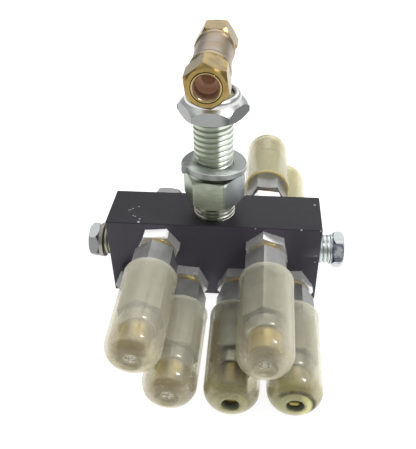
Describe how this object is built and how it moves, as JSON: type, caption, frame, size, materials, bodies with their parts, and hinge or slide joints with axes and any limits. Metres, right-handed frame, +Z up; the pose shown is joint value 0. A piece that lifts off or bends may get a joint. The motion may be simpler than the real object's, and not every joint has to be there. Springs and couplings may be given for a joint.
{
  "type": "lubrication divider block",
  "caption": "Lubrication divider block: drilled bar with capped metering units on both faces, a bulkhead stud with lock nut, and a compression tee on top.",
  "frame": {"origin": "on the stud's axis, at the face of its hexagon that seats the panel", "axes": "+X along the bar, -Y towards the side with most units, +Z up the stud"},
  "size_m": [0.0854, 0.1161, 0.0874],
  "materials": {
    "black_anodised": "black anodised, satin, scuffed at the upper left",
    "zinc": "zinc plated, slightly green",
    "seal_metal": "dull",
    "yellow_zinc": "yellow-green zinc plate",
    "spring_steel": "dull grey",
    "nut_zinc": "bright zinc plate",
    "blue_nylon": "dark blue nylon",
    "cast_brass": "matte, pinkish brown",
    "bright_brass": "bright, turned",
    "barrel_brass": "turned",
    "grey_alloy": "turned, blue-grey",
    "piston_steel": "ground",
    "valve_rubber": "black",
    "clear_cap": "translucent, yellowed, soft gloss"
  },
  "bodies": {
    "block": {"manifold_block": "black_anodised", "end_plug_right": "zinc", "end_plug_left": "zinc", "end_plug_seal": "seal_metal", "bulkhead_stud": "yellow_zinc", "spring_washer": "spring_steel", "tee_body": "cast_brass", "tee_nut_front": "bright_brass", "tee_nut_rear": "bright_brass", "tee_sleeve_front": "cast_brass", "tee_sleeve_rear": "cast_brass", "port_plug_front": "grey_alloy", "port_plug_rear_high": "grey_alloy", "port_plugs_rear_low": "grey_alloy", "inlet_valves": "valve_rubber", "unit_1_base": "grey_alloy", "unit_1_barrel": "barrel_brass", "unit_1_sleeve": "grey_alloy", "unit_1_spring": "spring_steel", "unit_2_base": "grey_alloy", "unit_2_barrel": "barrel_brass", "unit_2_sleeve": "grey_alloy", "unit_2_spring": "spring_steel", "unit_3_base": "grey_alloy", "unit_3_barrel": "barrel_brass", "unit_3_sleeve": "grey_alloy", "unit_3_spring": "spring_steel", "unit_4_base": "grey_alloy", "unit_4_barrel": "barrel_brass", "unit_4_sleeve": "grey_alloy", "unit_4_spring": "spring_steel", "unit_5_base": "grey_alloy", "unit_5_barrel": "barrel_brass", "unit_5_sleeve": "grey_alloy", "unit_5_spring": "spring_steel", "unit_6_base": "grey_alloy", "unit_6_barrel": "barrel_brass", "unit_6_sleeve": "grey_alloy", "unit_6_spring": "spring_steel", "unit_7_base": "grey_alloy", "unit_7_barrel": "barrel_brass", "unit_7_sleeve": "grey_alloy", "unit_7_spring": "spring_steel"},
    "lock_nut": {"lock_nut": "nut_zinc", "lock_nut_insert": "blue_nylon"},
    "unit_1_piston": {"unit_1_piston": "piston_steel"},
    "unit_1_cap": {"unit_1_cap": "clear_cap"},
    "unit_2_piston": {"unit_2_piston": "piston_steel"},
    "unit_2_cap": {"unit_2_cap": "clear_cap"},
    "unit_3_piston": {"unit_3_piston": "piston_steel"},
    "unit_3_cap": {"unit_3_cap": "clear_cap"},
    "unit_4_piston": {"unit_4_piston": "piston_steel"},
    "unit_4_cap": {"unit_4_cap": "clear_cap"},
    "unit_5_piston": {"unit_5_piston": "piston_steel"},
    "unit_5_cap": {"unit_5_cap": "clear_cap"},
    "unit_6_piston": {"unit_6_piston": "piston_steel"},
    "unit_6_cap": {"unit_6_cap": "clear_cap"},
    "unit_7_piston": {"unit_7_piston": "piston_steel"},
    "unit_7_cap": {"unit_7_cap": "clear_cap"}
  },
  "joints": [
    {"name": "lock_nut_travel", "type": "slide", "parent": "block", "child": "lock_nut", "axis": [0, 0, -1], "range_m": [0, 0.014]},
    {"name": "unit_1_cap_slide", "type": "slide", "parent": "block", "child": "unit_1_cap", "axis": [0, -1, 0], "range_m": [0, 0.04]},
    {"name": "unit_1_piston_slide", "type": "slide", "parent": "block", "child": "unit_1_piston", "axis": [0, -1, 0], "range_m": [0, 0.004], "stiffness_N_per_m": 400, "springref_m": -0.002, "deforming": ["unit_1_spring"]},
    {"name": "unit_2_cap_slide", "type": "slide", "parent": "block", "child": "unit_2_cap", "axis": [0, -1, 0], "range_m": [0, 0.04]},
    {"name": "unit_2_piston_slide", "type": "slide", "parent": "block", "child": "unit_2_piston", "axis": [0, -1, 0], "range_m": [0, 0.004], "stiffness_N_per_m": 400, "springref_m": -0.002, "deforming": ["unit_2_spring"]},
    {"name": "unit_3_cap_slide", "type": "slide", "parent": "block", "child": "unit_3_cap", "axis": [0, -1, 0], "range_m": [0, 0.04]},
    {"name": "unit_3_piston_slide", "type": "slide", "parent": "block", "child": "unit_3_piston", "axis": [0, -1, 0], "range_m": [0, 0.004], "stiffness_N_per_m": 400, "springref_m": -0.002, "deforming": ["unit_3_spring"]},
    {"name": "unit_4_cap_slide", "type": "slide", "parent": "block", "child": "unit_4_cap", "axis": [0, -1, 0], "range_m": [0, 0.04]},
    {"name": "unit_4_piston_slide", "type": "slide", "parent": "block", "child": "unit_4_piston", "axis": [0, -1, 0], "range_m": [0, 0.004], "stiffness_N_per_m": 400, "springref_m": -0.002, "deforming": ["unit_4_spring"]},
    {"name": "unit_5_cap_slide", "type": "slide", "parent": "block", "child": "unit_5_cap", "axis": [0, -1, 0], "range_m": [0, 0.04]},
    {"name": "unit_5_piston_slide", "type": "slide", "parent": "block", "child": "unit_5_piston", "axis": [0, -1, 0], "range_m": [0, 0.004], "stiffness_N_per_m": 400, "springref_m": -0.002, "deforming": ["unit_5_spring"]},
    {"name": "unit_6_cap_slide", "type": "slide", "parent": "block", "child": "unit_6_cap", "axis": [0, 1, 0], "range_m": [0, 0.04]},
    {"name": "unit_6_piston_slide", "type": "slide", "parent": "block", "child": "unit_6_piston", "axis": [0, 1, 0], "range_m": [0, 0.004], "stiffness_N_per_m": 400, "springref_m": -0.002, "deforming": ["unit_6_spring"]},
    {"name": "unit_7_cap_slide", "type": "slide", "parent": "block", "child": "unit_7_cap", "axis": [0, 1, 0], "range_m": [0, 0.04]},
    {"name": "unit_7_piston_slide", "type": "slide", "parent": "block", "child": "unit_7_piston", "axis": [0, 1, 0], "range_m": [0, 0.004], "stiffness_N_per_m": 400, "springref_m": -0.002, "deforming": ["unit_7_spring"]}
  ]
}
